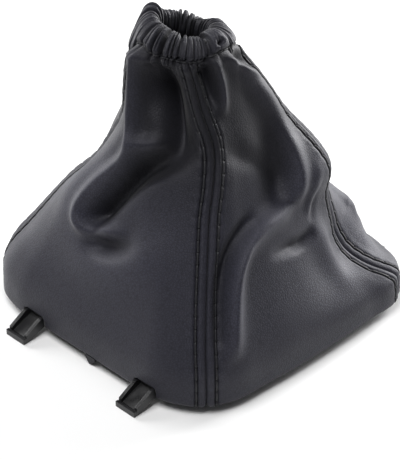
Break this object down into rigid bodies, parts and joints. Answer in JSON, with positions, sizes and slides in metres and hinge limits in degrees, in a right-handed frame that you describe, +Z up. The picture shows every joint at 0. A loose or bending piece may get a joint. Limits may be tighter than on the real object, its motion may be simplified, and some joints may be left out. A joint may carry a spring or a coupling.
{
  "type": "gear lever gaiter",
  "caption": "Gear lever gaiter of sewn black leather panels, gathered round an elastic at the collar and closed round a square moulded base frame with snap clips.",
  "frame": {"origin": "middle of the base in plan, on the level of the snap clips' feet", "axes": "+Z up the lever; -Y to the front, where the tongue is; the snap clips stand out along +Y and -Y"},
  "size_m": [0.1146, 0.1332, 0.1168],
  "materials": {
    "leather": "fine grained black leather, satin",
    "elastic": "woven black elastic",
    "frame_plastic": "moulded black plastic, low gloss"
  },
  "bodies": {
    "root": {"front_panel": "leather", "right_panel": "leather", "rear_panel": "leather", "left_panel": "leather", "collar_elastic": "elastic", "base_frame": "frame_plastic"}
  },
  "joints": []
}
